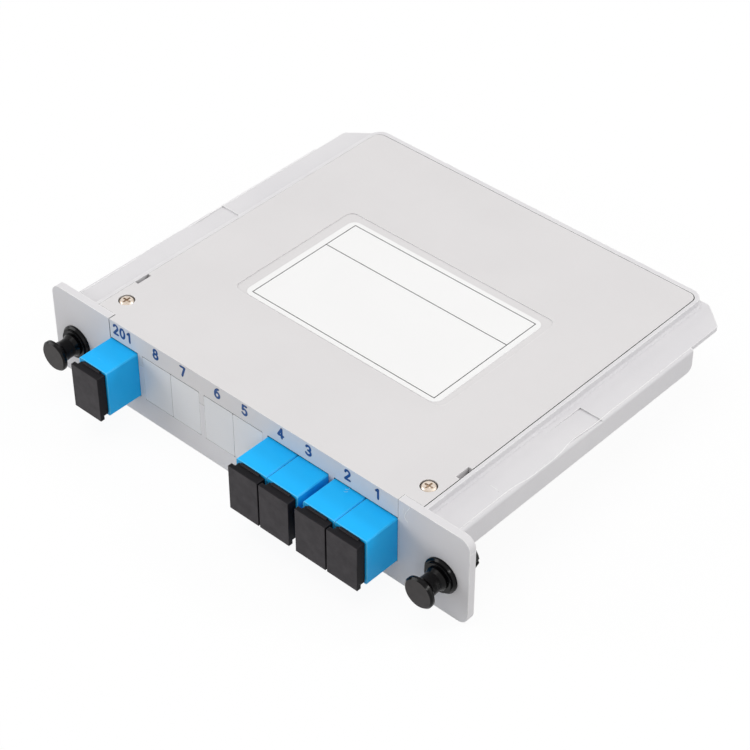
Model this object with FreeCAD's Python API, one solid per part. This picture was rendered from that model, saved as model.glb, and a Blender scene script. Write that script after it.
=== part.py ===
import FreeCAD, Part
import math
import os

# Plug-in fibre splitter cassette: one input port and four output ports on a wide front panel.
# Frame: X to the right along the panel, +Y to the rear, +Z up, in millimetres.
# The origin is the middle of the panel's bottom face, half way through the panel's thickness.

# Front panel
ear_overhang = 5.0
panel_height = 24.4
panel_thickness = 2.0
panel_corner_radius = 2.8

# Box behind the panel
body_depth = 100.0
port_row_margin = 5.4
wall = 1.6
floor_thickness = 1.6
box_lift = 4.0
box_corner_radius = 2.4

# Lid and the rim round it
lid_thickness = 2.0
lid_lap = 0.11
lid_gap = 0.16
lid_shift_left = 0.1
lid_front_gap = 0.05
lid_corner_radius = 2.2
rim_width = 0.93
rim_rear_width = 1.29
rim_foot_bevel = 0.45
skirt_margin = 0.1
skirt_left_gap = 0.3
joint_gap = 0.1
pry_notch_length = 4.2
pry_notch_width = 1.05
pry_notch_start = 13.5
tongue_width = 8.0
tongue_length = 5.0
tongue_thickness = 1.2
tongue_reach = 0.9
tongue_spacing = 60.0

# Side rails that ride in the rack's guides
rail_width = 8.4
rail_drop = 2.0
rail_plate = 1.2
rail_skirt_height = 6.2
rail_skirt_wall = 1.6
rail_skirt_end = 15.7
rail_skirt_radius = 1.8
rail_edge_radius = 0.8
rail_corner_length = 5.2
rail_corner_width = 7.0
rail_corner_radius = 1.6
ramp_length = 12.0
ramp_end = 50.85
ramp_depth = 0.4
ramp_width = 6.5

# Ports
port_width = 9.3
mullion_width = 1.575
port_bottom = 5.95
adapter_height = 12.7
port_height_gap = 0.175
mullion_joint_drop = 3.2
guide_wall_depth = 13.0
guide_wall_height = 12.0
keeper_rib = 1.2

# Adapters and blank plugs
adapter_side_gap = 0.04
adapter_length = 27.4
adapter_reach = 9.7
adapter_side_wall = 0.86
adapter_top_wall = 1.8
adapter_edge_bevel = 0.25
port_seat_gap = 0.15
ridge_length = 1.8
ridge_height = 0.8
key_slot_width = 2.6
key_slot_length = 9.0
blank_extra_height = 0.15
blank_depth = 8.0
blank_wall = 1.2
blank_face = 2.4
blank_edge_bevel = 0.2

# Alignment insert and sleeve inside each adapter
insert_gap = 0.05
insert_plate = 2.0
holder_radius = 2.5
holder_bore_radius = 1.65
holder_length = 12.0
hook_length = 6.5
hook_thickness = 0.8
hook_width = 2.4
hook_barb = 0.4
hook_gap = 0.2
sleeve_radius = 1.6
sleeve_wall = 0.34
sleeve_length = 11.4
sleeve_slit = 0.4

# Connectors plugged in from inside
shell_gap = 0.15
shell_length = 25.0
shell_front = 8.0
shell_wall = 0.75
frame_gap = 0.08
holder_room = 0.5
frame_tail = 2.0
frame_wall = 0.7
ferrule_radius = 1.25
ferrule_length = 11.0
ferrule_tip_gap = 0.05
ferrule_collar_size = 3.1
ferrule_collar_length = 3.0
boot_length = 11.0
boot_radius = 2.3
boot_steps = 4
boot_tip_radius = 1.1
boot_gap = 0.1
fibre_radius = 0.45
fibre_bend_step = 30.0
fibre_bore_gap = 0.05

# Dust caps
cap_plate_width = 8.8
cap_plate_height = 12.5
cap_plate_thickness = 1.15
cap_shift_left = 0.25
cap_shift_down = 0.45
cap_block_depth = 1.2
cap_lip = 1.1
cap_tab_width = 5.6
cap_tab_thickness = 0.4
cap_tab_drop = 0.12
cap_plug_gap = 0.25
cap_plug_depth = 5.8
cap_plug_wall = 0.85
cap_stand_off = 0.2

# Push-pull latches
latch_inset = 7.5
latch_height = 10.5
latch_hole_radius = 3.3
latch_barrel_radius = 3.1
latch_barb = 0.5
latch_barb_length = 3.2
latch_flange_radius = 4.45
latch_flange_thickness = 0.9
latch_flange_bevel = 0.4
latch_ring_radius = 3.7
latch_ring_height = 0.5
latch_grip_length = 1.6
latch_leg_length = 7.3
latch_slit = 1.2
latch_tip_wall = 0.6
latch_tip_steps = 2
plunger_pin_radius = 1.6
plunger_fit = 0.08
plunger_stand_off = 0.05
plunger_foot_radius = 2.9
plunger_foot_thickness = 0.4
plunger_foot_flare = 0.8
plunger_waist_radius = 2.45
plunger_neck_radius = 3.6
plunger_flare_length = 2.6
plunger_flare_steps = 3
plunger_head_radius = 3.95
plunger_head_thickness = 1.0
plunger_head_bevel = 0.4
plunger_length = 6.2
plunger_tip_length = 0.5

# Lid screws
screw_inset = 3.4
screw_setback = 7.5
screw_head_radius = 1.8
screw_head_height = 1.15
screw_head_bevel = 0.35
screw_shank_radius = 1.2
screw_length = 9.0
screw_bottom_room = 1.0
screw_recess_gap = 0.22
screw_hole_gap = 0.1
screw_fit = 0.03
screw_cross_length = 2.2
screw_cross_width = 0.5
screw_cross_depth = 0.7
boss_radius = 2.9

# Label on the lid
label_width = 60.0
label_depth = 38.2
label_thickness = 0.1
label_shift = 0.6
label_front = 28.3
label_side_margin = 2.3
label_front_margin = 0.4
label_rear_margin = 2.2
label_recess_depth = 0.2
label_corner_radius = 2.2

# Splitter module, its end boots and the fibres
module_length = 40.0
module_width = 7.0
module_height = 4.0
module_to_rear_wall = 35.4
module_shift = 7.0
module_edge_chamfer = 0.6
module_clip_height = 5.2
module_clip_wall = 1.2
module_clip_length = 5.0
module_clip_inset = 8.0
module_boot_length = 4.0
module_boot_margin = 0.6
module_boot_seat = 1.5
fibre_pitch = 1.1
output_row_gap = 7.4
output_column_gap = 11.5
input_row_gap = 2.5
input_column_gap = 2.2
bend_radius = 10.0
rise_lead = 12.0
rise_length = 16.0
drop_lead = 7.0
drop_length = 20.0

# How far a cutting shape runs past the surface it opens
cut_margin = 1.0

# How many flat sides the small round parts inside the box have
few_sides = 6
some_sides = 8
many_sides = 12

# Places worked out from the sizes above
port_groups = [["in"], ["8", "7"], ["6", "5"], ["4", "3"], ["2", "1"]]
blank_ports = ["8", "7", "6", "5"]
output_ports = ["4", "3", "2", "1"]
port_count = sum(len(group) for group in port_groups)
row_width = port_count * port_width + (len(port_groups) - 1) * mullion_width
box_half = row_width / 2 + port_row_margin
room_half = box_half - wall
lid_half = box_half + lid_lap
rim_inner = lid_half + lid_gap
rim_outer = rim_inner + rim_width
rail_outer = rim_outer + rail_width
ledge_half = rail_outer - rail_edge_radius
panel_half = rail_outer + ear_overhang
skirt_half = row_width / 2 + skirt_margin
latch_x = panel_half - latch_inset
screw_x = box_half - screw_inset
face_y = -panel_thickness / 2
back_y = panel_thickness / 2
rear_y = face_y + body_depth
room_rear_y = rear_y - wall
lid_rear_y = rear_y - rim_rear_width - lid_gap
screw_y = face_y + screw_setback
ledge_z = panel_height - rail_drop
lid_z = panel_height - lid_thickness
floor_z = box_lift + floor_thickness
port_height = adapter_height + 2 * port_height_gap
port_top = port_bottom + port_height
port_z = port_bottom + port_height / 2
joint_z = port_top - mullion_joint_drop
adapter_width = port_width - 2 * adapter_side_gap
bore_width = adapter_width - 2 * adapter_side_wall
bore_height = adapter_height - 2 * adapter_top_wall
blank_height = adapter_height + blank_extra_height
adapter_front_y = face_y - adapter_reach
adapter_rear_y = adapter_front_y + adapter_length
adapter_middle_y = adapter_front_y + adapter_length / 2
ridge_y = back_y + port_seat_gap
keeper_y = ridge_y + ridge_length + port_seat_gap
hook_room = hook_thickness + hook_barb
shell_width = bore_width - 2 * shell_gap
shell_height = bore_height - 2 * shell_gap
shell_y = adapter_middle_y + shell_front
frame_width = shell_width - 2 * (shell_wall + frame_gap)
frame_height = shell_height - 2 * (shell_wall + hook_room + frame_gap)
frame_front_y = adapter_middle_y + holder_length / 2 + holder_room
frame_rear_y = shell_y + shell_length + frame_tail
ferrule_y = adapter_middle_y + ferrule_tip_gap
boot_y = frame_rear_y + boot_gap
fibre_start_y = boot_y + boot_length + boot_gap
module_y = room_rear_y - module_to_rear_wall
module_z = floor_z + module_height / 2
module_left_x = module_shift - module_length / 2
module_right_x = module_shift + module_length / 2

REAR = FreeCAD.Vector(0, 1, 0)
RIGHT = FreeCAD.Vector(1, 0, 0)
UP = FreeCAD.Vector(0, 0, 1)


def block(x_ends, y_ends, z_ends):
    """A plain box between two ends along each axis, in either order."""
    lows = [min(ends) for ends in (x_ends, y_ends, z_ends)]
    highs = [max(ends) for ends in (x_ends, y_ends, z_ends)]
    size = [high - low for low, high in zip(lows, highs)]
    return Part.makeBox(*size, FreeCAD.Vector(*lows))


def around(middle, width):
    """The two ends of a span about its middle."""
    return (middle - width / 2, middle + width / 2)


def edges_along(shape, axis):
    """The straight edges of a shape that run along axis 0, 1 or 2."""
    found = []
    for edge in shape.Edges:
        run = edge.Vertexes[-1].Point - edge.Vertexes[0].Point
        across = [abs(run[i]) for i in range(3) if i != axis]
        if abs(run[axis]) > 1e-6 and max(across) < 1e-6:
            found.append(edge)
    return found


def rounded(solid, radius, axis):
    """A box whose four edges along one axis are rounded."""
    return solid.makeFillet(radius, edges_along(solid, axis))


def bevelled(solid, size, axis):
    """A box whose four edges along one axis are chamfered."""
    return solid.makeChamfer(size, edges_along(solid, axis))


def rod_y(x, z, radius, y_low, y_high):
    """A round bar along Y."""
    return Part.makeCylinder(radius, y_high - y_low, FreeCAD.Vector(x, y_low, z), REAR)


def rod_z(x, y, radius, z_low, z_high):
    """A round bar along Z."""
    return Part.makeCylinder(radius, z_high - z_low, FreeCAD.Vector(x, y, z_low), UP)


def flat_face(corners):
    """A flat face with straight sides through the corners."""
    return Part.Face(Part.makePolygon(corners + corners[:1]))


def prism_x(points, x_low, x_high):
    """An outline in Y and Z, drawn from x_low to x_high."""
    return flat_face([FreeCAD.Vector(x_low, y, z) for y, z in points]).extrude(RIGHT * (x_high - x_low))


def prism_y(points, y_low, y_high):
    """An outline in X and Z, drawn from y_low to y_high."""
    return flat_face([FreeCAD.Vector(x, y_low, z) for x, z in points]).extrude(REAR * (y_high - y_low))


def turned(points, x, z):
    """A body of revolution about a line along Y, from points of radius and Y."""
    profile = flat_face([FreeCAD.Vector(radius, y, 0) for radius, y in points])
    return profile.revolve(FreeCAD.Vector(0, 0, 0), REAR, 360).translated(FreeCAD.Vector(x, 0, z))


def ring(middle, along, radius, sides):
    """A closed wire with equal sides, square to a direction that isn't upright."""
    across = UP.cross(along).normalize()
    over = along.cross(across).normalize()
    corners = []
    for index in range(sides):
        angle = 2 * math.pi * (index + 0.5) / sides
        corners.append(middle + across * (radius * math.cos(angle)) + over * (radius * math.sin(angle)))
    return Part.makePolygon(corners + corners[:1])


def many_sided_rod(x, z, radius, y_low, y_high, sides):
    """A bar along Y with flat sides, its corners at the radius."""
    return Part.Face(ring(FreeCAD.Vector(x, y_low, z), REAR, radius, sides)).extrude(REAR * (y_high - y_low))


def many_sided_pin(x, y, radius, z_low, z_high, sides):
    """A bar along Z with flat sides, its corners at the radius."""
    step = 2 * math.pi / sides
    corners = [FreeCAD.Vector(x + radius * math.cos(index * step), y + radius * math.sin(index * step), z_low)
               for index in range(sides)]
    return flat_face(corners).extrude(UP * (z_high - z_low))


def many_sided_hole(x, z, radius, y_low, y_high, sides):
    """A bar along Y with flat sides, its sides at the radius, to cut a hole with."""
    return many_sided_rod(x, z, radius / math.cos(math.pi / sides), y_low, y_high, sides)


def joined(shapes):
    """All the shapes fused to one solid."""
    first, *others = shapes
    return first.multiFuse(others).removeSplitter() if others else first


def mirrored(shape):
    """The same shape on the other side of the middle plane."""
    return shape.mirror(FreeCAD.Vector(0, 0, 0), RIGHT)


def port_openings():
    """The openings in the panel from left to right: their ports and their two ends in X."""
    openings = []
    x = -row_width / 2
    for group in port_groups:
        x_high = x + len(group) * port_width
        openings.append((group, x, x_high))
        x = x_high + mullion_width
    return openings


def port_places():
    """The X of the middle of each port, by its name."""
    places = {}
    for group, x_low, x_high in port_openings():
        for index, name in enumerate(group):
            places[name] = x_low + (index + 0.5) * port_width
    return places


def mullions():
    """The two ends in X of each bar between two openings."""
    openings = port_openings()
    return [(left[2], right[1]) for left, right in zip(openings, openings[1:])]


def panel_plate():
    """The front panel with its ears, its ports and the gap in its top edge for the lid's skirt."""
    plate = block((-panel_half, panel_half), (face_y, back_y), (0, panel_height))
    plate = rounded(plate, panel_corner_radius, 1)
    through = (face_y - cut_margin, back_y + cut_margin)
    row = (-row_width / 2, row_width / 2)
    cuts = [block((-skirt_half, skirt_half), through, (port_top, panel_height + cut_margin))]
    cuts.append(block(row, through, (joint_z, port_top)))
    for group, x_low, x_high in port_openings():
        cuts.append(block((x_low, x_high), through, (port_bottom, joint_z)))
    for x in (-latch_x, latch_x):
        cuts.append(rod_y(x, latch_height, latch_hole_radius, *through))
    return plate.cut(joined(cuts))


def ledge_plan():
    """The outline of the ledge round the lid, with its cut rear corners, as tall as the rim."""
    corner_x = rail_outer - rail_corner_width
    corner_y = rear_y - rail_corner_length
    low = ledge_z - rail_plate
    corners = [(-ledge_half, back_y), (ledge_half, back_y), (ledge_half, corner_y), (corner_x, rear_y),
               (-corner_x, rear_y), (-ledge_half, corner_y)]
    plan = flat_face([FreeCAD.Vector(x, y, low) for x, y in corners]).extrude(UP * (panel_height - low))
    upright = [edge for edge in edges_along(plan, 2) if edge.Vertexes[0].Y > corner_y - cut_margin]
    return plan.makeFillet(rail_corner_radius, upright)


def ledge_and_rim():
    """The thin ledge and the rim that stands on it, with a small bevel where they meet."""
    front_y = face_y - 3 * lid_corner_radius
    low = ledge_z - rail_plate
    rim = block((-rim_outer, rim_outer), (front_y, rear_y), (low, panel_height))
    rim = rounded(rim, lid_corner_radius + lid_gap + rim_width, 2)
    slab = block((-rail_outer, rail_outer), (front_y - cut_margin, rear_y + cut_margin), (low, ledge_z))
    solid = slab.fuse(rim).removeSplitter()
    inside = FreeCAD.BoundBox(-rim_outer, front_y, ledge_z, rim_outer, rear_y, ledge_z)
    inside.enlarge(cut_margin / 10)
    foot = [edge for edge in solid.Edges if inside.isInside(edge.BoundBox)]
    return solid.makeChamfer(rim_foot_bevel, foot).common(ledge_plan())


def rail_skirt():
    """The skirt along the right rail's outer edge, which slides in the rack's guide."""
    skirt = block((rail_outer - rail_skirt_wall, rail_outer), (back_y, rear_y - rail_skirt_end),
                  (ledge_z - rail_skirt_height, ledge_z))
    foot = [edge for edge in edges_along(skirt, 0) if edge.Vertexes[0].Y > back_y + rail_skirt_wall
            and edge.Vertexes[0].Z < ledge_z - rail_plate]
    skirt = skirt.makeFillet(rail_skirt_radius, foot)
    top = [edge for edge in edges_along(skirt, 1) if edge.Vertexes[0].X > rail_outer - rail_edge_radius
           and edge.Vertexes[0].Z > ledge_z - rail_plate]
    return skirt.makeFillet(rail_edge_radius, top)


def ledge_ramp():
    """What is cut from the right ledge: a shallow ramp that ends in a step half way along."""
    step_y = face_y + ramp_end
    side = [(step_y - ramp_length, ledge_z),
            (step_y - ramp_length, ledge_z + cut_margin),
            (step_y, ledge_z + cut_margin),
            (step_y, ledge_z - ramp_depth)]
    return prism_x(side, rail_outer - ramp_width, rail_outer + cut_margin)


def box_shell():
    """The open box: floor, side walls, rear wall, the ledge and the rim that frames the lid."""
    outer = block((-box_half, box_half), (face_y, rear_y), (box_lift, ledge_z))
    outer = rounded(outer, box_corner_radius, 2)
    behind_panel = block((-box_half, box_half), (back_y, rear_y), (box_lift, ledge_z))
    seat = block((-rim_inner, rim_inner), (face_y - 3 * lid_corner_radius, rear_y - rim_rear_width),
                 (lid_z, panel_height + cut_margin))
    seat = rounded(seat, lid_corner_radius + lid_gap, 2)
    room = block((-room_half, room_half), (back_y, room_rear_y), (floor_z, panel_height + cut_margin))
    solid = outer.common(behind_panel).fuse(ledge_and_rim()).cut(seat).cut(room)
    for x in (-tongue_spacing / 2, tongue_spacing / 2):
        solid = solid.cut(block(around(x, tongue_width + 2 * lid_gap),
                                (room_rear_y - cut_margin, room_rear_y + tongue_reach + lid_gap),
                                (lid_z - tongue_thickness - lid_gap, lid_z)))
    return solid


def guide_walls():
    """The walls behind the bars and at the ends of the row, which keep the adapters in line."""
    spans = mullions()
    spans += [(-row_width / 2 - wall, -row_width / 2), (row_width / 2, row_width / 2 + wall)]
    y_ends = (back_y, back_y + guide_wall_depth)
    return [block(span, y_ends, (floor_z, floor_z + guide_wall_height)) for span in spans]


def keeper(z_ends):
    """A rib across the row, behind the ridges of the adapters and blank plugs."""
    return block((-row_width / 2, row_width / 2), (keeper_y, keeper_y + keeper_rib), z_ends)


def screw_posts():
    """The two posts that the lid screws cut their thread in, grown out of the side walls."""
    posts = []
    z_ends = (floor_z, lid_z)
    for side in (-1, 1):
        post = rod_z(side * screw_x, screw_y, boss_radius, *z_ends)
        web = block((side * screw_x, side * room_half), around(screw_y, 2 * boss_radius), z_ends)
        room = block((side * row_width / 2, side * (room_half + wall / 2)), (back_y, rear_y), z_ends)
        posts.append(post.fuse(web).common(room))
    return posts


def module_clips():
    """Two pairs of posts on the floor that hold the splitter module."""
    clips = []
    for x in (module_left_x + module_clip_inset, module_right_x - module_clip_inset):
        for side in (-1, 1):
            near = module_y + side * (module_width / 2 + port_seat_gap)
            clips.append(block(around(x, module_clip_length), (near, near + side * module_clip_wall),
                               (floor_z, floor_z + module_clip_height)))
    return clips


def base_housing():
    """The lower moulding: panel, box, rails and what is moulded inside them."""
    blank_bottom = port_z - blank_height / 2
    inside = guide_walls() + screw_posts() + module_clips()
    inside.append(keeper((floor_z, blank_bottom - port_seat_gap)))
    skirt = rail_skirt()
    solid = joined([panel_plate(), box_shell(), skirt, mirrored(skirt)] + inside)
    ramp = ledge_ramp()
    solid = solid.cut(ramp).cut(mirrored(ramp))
    ridge_bottom = port_z - adapter_height / 2 - ridge_height - port_seat_gap
    for group, x_low, x_high in port_openings():
        solid = solid.cut(block((x_low, x_high), (back_y, keeper_y), (ridge_bottom, floor_z + cut_margin)))
    screw_bottom = lid_z - screw_length
    for x in (-screw_x, screw_x):
        solid = solid.cut(many_sided_pin(x, screw_y, screw_shank_radius, screw_bottom, lid_z, some_sides))
    return solid.removeSplitter()


def lid_plate():
    """The lid's flat plate behind the panel, with rounded rear corners."""
    x_ends = around(-lid_shift_left, 2 * lid_half)
    plate = block(x_ends, (back_y + lid_front_gap, lid_rear_y), (lid_z, panel_height))
    corners = [edge for edge in edges_along(plate, 2) if edge.Vertexes[0].Y > back_y + body_depth / 2]
    return plate.makeFillet(lid_corner_radius, corners)


def label_seat():
    """The shallow recess that takes the label."""
    half = label_width / 2 + label_side_margin
    front = face_y + label_front
    seat = block((-half, half), (front - label_front_margin, front + label_depth + label_rear_margin),
                 (panel_height - label_recess_depth, panel_height + cut_margin))
    return rounded(seat, label_corner_radius, 2)


def lid():
    """The lid: a flat plate with a front skirt, the upper ends of the bars, a keeper and two tongues."""
    skirt = (skirt_left_gap - skirt_half, skirt_half - joint_gap)
    pieces = [lid_plate(), block(skirt, (face_y, back_y), (port_top + joint_gap, panel_height))]
    pieces.append(block(skirt, (face_y, back_y + wall), (lid_z, panel_height)))
    for x_low, x_high in mullions():
        pieces.append(block((x_low, x_high), (face_y, back_y), (joint_z + joint_gap, port_top + joint_gap)))
    pieces.append(keeper((port_z + blank_height / 2 + port_seat_gap, lid_z)))
    for x in (-tongue_spacing / 2, tongue_spacing / 2):
        pieces.append(block(around(x, tongue_width), (room_rear_y + tongue_reach - tongue_length,
                                                      room_rear_y + tongue_reach),
                            (lid_z - tongue_thickness, lid_z)))
    solid = joined(pieces).cut(label_seat())
    seat_z = panel_height - screw_head_height
    for side in (-1, 1):
        x = side * screw_x
        solid = solid.cut(rod_z(x, screw_y, screw_head_radius + screw_recess_gap, seat_z, panel_height))
        hole_radius = screw_shank_radius + screw_hole_gap
        solid = solid.cut(many_sided_pin(x, screw_y, hole_radius, lid_z, panel_height, some_sides))
        notch_y = face_y + pry_notch_start
        edge_x = side * lid_half - lid_shift_left
        solid = solid.cut(block((edge_x - side * pry_notch_width, edge_x + side * cut_margin),
                                (notch_y, notch_y + pry_notch_length), (lid_z, panel_height)))
    return solid.removeSplitter()


def lid_label():
    """The sticker in the lid's shallow recess."""
    low = panel_height - label_recess_depth
    front = face_y + label_front
    y_ends = (front, front + label_depth)
    label = block(around(label_shift, label_width), y_ends, (low, low + label_thickness))
    return rounded(label, label_corner_radius, 2)


def lid_screw(x):
    """One cross-recessed screw with a low bevelled head."""
    seat_z = panel_height - screw_head_height
    head = rod_z(x, screw_y, screw_head_radius, seat_z, panel_height)
    rim = [edge for edge in head.Edges if edge.Closed and edge.Vertexes[0].Z > seat_z + screw_head_bevel]
    head = head.makeChamfer(screw_head_bevel, rim)
    tip_z = lid_z - screw_length + screw_bottom_room
    shank = many_sided_pin(x, screw_y, screw_shank_radius - screw_fit, tip_z, seat_z, some_sides)
    depth = (panel_height - screw_cross_depth, panel_height + cut_margin)
    arm = block(around(x, screw_cross_length), around(screw_y, screw_cross_width), depth)
    other = block(around(x, screw_cross_width), around(screw_y, screw_cross_length), depth)
    return head.fuse(shank).cut(arm.fuse(other)).removeSplitter()


def port_body(x, height, y_front, y_rear):
    """The outer form that adapters and blank plugs share: a box with a ridge above and below."""
    body = block(around(x, adapter_width), (y_front, y_rear), around(port_z, height))
    ridge = block(around(x, adapter_width - 2 * adapter_edge_bevel), (ridge_y, ridge_y + ridge_length),
                  around(port_z, adapter_height + 2 * ridge_height))
    return body, ridge


def adapter_body(x):
    """The blue adapter shell: a square tube with a key slot at each end of its left wall."""
    body, ridge = port_body(x, adapter_height, adapter_front_y, adapter_rear_y)
    solid = bevelled(body, adapter_edge_bevel, 1).fuse(ridge)
    bore = block(around(x, bore_width), (adapter_front_y - cut_margin, adapter_rear_y + cut_margin),
                 around(port_z, bore_height))
    slot_z = around(port_z, key_slot_width)
    slot_x = (x - adapter_width, x)
    front_slot = block(slot_x, (adapter_front_y - cut_margin, adapter_front_y + key_slot_length), slot_z)
    rear_slot = block(slot_x, (adapter_rear_y - key_slot_length, adapter_rear_y + cut_margin), slot_z)
    return solid.cut(joined([bore, front_slot, rear_slot])).removeSplitter()


def insert_hook(x, end, side):
    """One of the four sprung hooks that grip a plug. end is -1 for the front, side is -1 for below."""
    root = adapter_middle_y + end * insert_plate / 2
    tip = root + end * hook_length
    outer = port_z + side * (bore_height / 2 - insert_gap)
    arm = block(around(x, hook_width), (root, tip), (outer, outer - side * hook_thickness))
    barb = block(around(x, hook_width), (tip - end * hook_thickness, tip), (outer, outer - side * hook_room))
    return arm.fuse(barb)


def adapter_insert(x):
    """The insert in the middle of an adapter: a plate, the eight-sided sleeve holder and four hooks."""
    plate = block(around(x, bore_width - 2 * insert_gap), around(adapter_middle_y, insert_plate),
                  around(port_z, bore_height - 2 * insert_gap))
    holder_ends = around(adapter_middle_y, holder_length)
    holder = many_sided_rod(x, port_z, holder_radius, *holder_ends, some_sides)
    hooks = [insert_hook(x, end, side) for end in (-1, 1) for side in (-1, 1)]
    bore = many_sided_hole(x, port_z, holder_bore_radius, *holder_ends, some_sides)
    return joined([plate, holder] + hooks).cut(bore)


def alignment_sleeve(x):
    """The split ceramic sleeve that lines up the two ferrules."""
    y_ends = around(adapter_middle_y, sleeve_length)
    tube = many_sided_rod(x, port_z, sleeve_radius, *y_ends, many_sides)
    tube = tube.cut(many_sided_hole(x, port_z, sleeve_radius - sleeve_wall, *y_ends, many_sides))
    return tube.cut(block(around(x, sleeve_slit), y_ends, (port_z, port_z + 2 * sleeve_radius)))


def dust_cap(x):
    """A dust cap: a pull plate, a block with a thin tab behind it and a hollow plug for the mouth."""
    seat_y = adapter_front_y - cap_stand_off
    plate_y = seat_y - cap_block_depth
    plate_x = around(x - cap_shift_left, cap_plate_width)
    plate_z = around(port_z - cap_shift_down, cap_plate_height)
    plate = block(plate_x, (plate_y - cap_plate_thickness, plate_y), plate_z)
    collar = block((plate_x[0] + cap_lip, plate_x[1]), (plate_y, seat_y), (plate_z[0] + cap_lip, plate_z[1]))
    tab = block(around(x, cap_tab_width), (seat_y - cap_tab_thickness, seat_y),
                (port_z, port_z + adapter_height / 2 - cap_tab_drop))
    plug_width = bore_width - 2 * cap_plug_gap
    plug_height = bore_height - 2 * cap_plug_gap
    plug_end = adapter_front_y + cap_plug_depth
    plug = block(around(x, plug_width), (plate_y, plug_end), around(port_z, plug_height))
    hollow = block(around(x, plug_width - 2 * cap_plug_wall), (plate_y, plug_end + cut_margin),
                   around(port_z, plug_height - 2 * cap_plug_wall))
    return joined([plate, collar, tab, plug]).cut(hollow).removeSplitter()


def blank_plug(x):
    """A blank plug: a hollow box that closes an unused port flush with the panel."""
    body, ridge = port_body(x, blank_height, face_y, face_y + blank_depth)
    solid = bevelled(body, blank_edge_bevel, 1).fuse(ridge)
    room = block(around(x, adapter_width - 2 * blank_wall),
                 (face_y + blank_face, face_y + blank_depth + cut_margin),
                 around(port_z, adapter_height - 2 * blank_wall))
    return solid.cut(room).removeSplitter()


def latch_grommet(x):
    """A latch grommet: a front flange with a raised ring, and two barbed legs behind the ear."""
    flange_y = face_y - latch_flange_thickness
    ring_y = flange_y - latch_ring_height
    bore = plunger_pin_radius + plunger_fit
    barb_radius = latch_barrel_radius + latch_barb
    barb_y = back_y + latch_grip_length
    barb_end_y = barb_y + latch_barb_length
    tip_y = back_y + latch_leg_length
    tip_radius = bore + latch_tip_wall
    tip = []
    for step in range(latch_tip_steps + 1):
        angle = math.pi / 2 * step / latch_tip_steps
        tip.append((tip_radius + (barb_radius - tip_radius) * math.cos(angle),
                    barb_end_y + (tip_y - barb_end_y) * math.sin(angle)))
    solid = turned([
        (bore, ring_y),
        (latch_ring_radius, ring_y),
        (latch_ring_radius, flange_y),
        (latch_flange_radius - latch_flange_bevel, flange_y),
        (latch_flange_radius, flange_y + latch_flange_bevel),
        (latch_flange_radius, face_y),
        (latch_barrel_radius, face_y),
        (latch_barrel_radius, barb_y),
        (barb_radius, barb_y + latch_barb),
        *tip,
        (bore, tip_y),
    ], x, latch_height)
    slit = block(around(x, 2 * barb_radius + cut_margin), (face_y + panel_thickness / 2, tip_y + cut_margin),
                 around(latch_height, latch_slit))
    return solid.cut(slit)


def latch_plunger(x):
    """A latch plunger: a spool-shaped knob on a pin through the grommet."""
    foot_y = face_y - latch_flange_thickness - latch_ring_height - plunger_stand_off
    head_y = foot_y - plunger_length
    rim_y = head_y + plunger_head_thickness
    pin_y = back_y + latch_leg_length + plunger_tip_length
    flare = []
    for step in range(plunger_flare_steps + 1):
        angle = math.pi / 2 * step / plunger_flare_steps
        flare.append((plunger_neck_radius - (plunger_neck_radius - plunger_waist_radius) * math.sin(angle),
                      rim_y + plunger_flare_length * (1 - math.cos(angle))))
    return turned([
        (0, head_y),
        (plunger_head_radius - plunger_head_bevel, head_y),
        (plunger_head_radius, head_y + plunger_head_bevel),
        (plunger_head_radius, rim_y),
        *flare,
        (plunger_waist_radius, foot_y - plunger_foot_thickness - plunger_foot_flare),
        (plunger_foot_radius, foot_y - plunger_foot_thickness),
        (plunger_foot_radius, foot_y),
        (plunger_pin_radius, foot_y),
        (plunger_pin_radius, pin_y),
        (0, pin_y),
    ], x, latch_height)


def connector_shell(x):
    """The sliding outer shell of a connector, open from end to end, with room for the hooks."""
    y_ends = (shell_y, shell_y + shell_length)
    shell = block(around(x, shell_width), y_ends, around(port_z, shell_height))
    room = block(around(x, shell_width - 2 * shell_wall), y_ends,
                 around(port_z, shell_height - 2 * (shell_wall + hook_room)))
    hook_end = adapter_middle_y + insert_plate / 2 + hook_length + hook_gap
    slot = block(around(x, hook_width + 2 * hook_gap), (shell_y, hook_end), around(port_z, shell_height))
    return shell.cut(room.fuse(slot)).removeSplitter()


def connector_frame(x):
    """The inner frame of a connector: a square tube with the ferrule's collar in it."""
    y_ends = (frame_front_y, frame_rear_y)
    frame = block(around(x, frame_width), y_ends, around(port_z, frame_height))
    chamber_width = frame_width - 2 * frame_wall
    chamber_height = frame_height - 2 * frame_wall
    return frame.cut(block(around(x, chamber_width), y_ends, around(port_z, chamber_height)))


def ferrule(x):
    """A ceramic ferrule in its square metal collar."""
    collar_y = ferrule_y + ferrule_length
    pin = many_sided_rod(x, port_z, ferrule_radius, ferrule_y, collar_y, many_sides)
    collar = block(around(x, ferrule_collar_size), (collar_y, collar_y + ferrule_collar_length),
                   around(port_z, ferrule_collar_size))
    return pin.fuse(collar).removeSplitter()


def connector_boot(x):
    """The boot behind a connector, stepped down so that it bends."""
    rods = []
    for step in range(boot_steps):
        radius = boot_radius - (boot_radius - boot_tip_radius) * step / (boot_steps - 1)
        y_low = boot_y + boot_length * step / boot_steps
        rods.append(many_sided_rod(x, port_z, radius, y_low, y_low + boot_length / boot_steps, some_sides))
    return joined(rods)


def splitter_module():
    """The splitter's metal case, open at both ends for its boots."""
    case = block((module_left_x, module_right_x), around(module_y, module_width),
                 (floor_z, floor_z + module_height))
    case = bevelled(case, module_edge_chamfer, 0)
    for x_ends in ((module_left_x, module_left_x + module_boot_seat),
                   (module_right_x - module_boot_seat, module_right_x)):
        case = case.cut(boot_block(x_ends))
    return case


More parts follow.
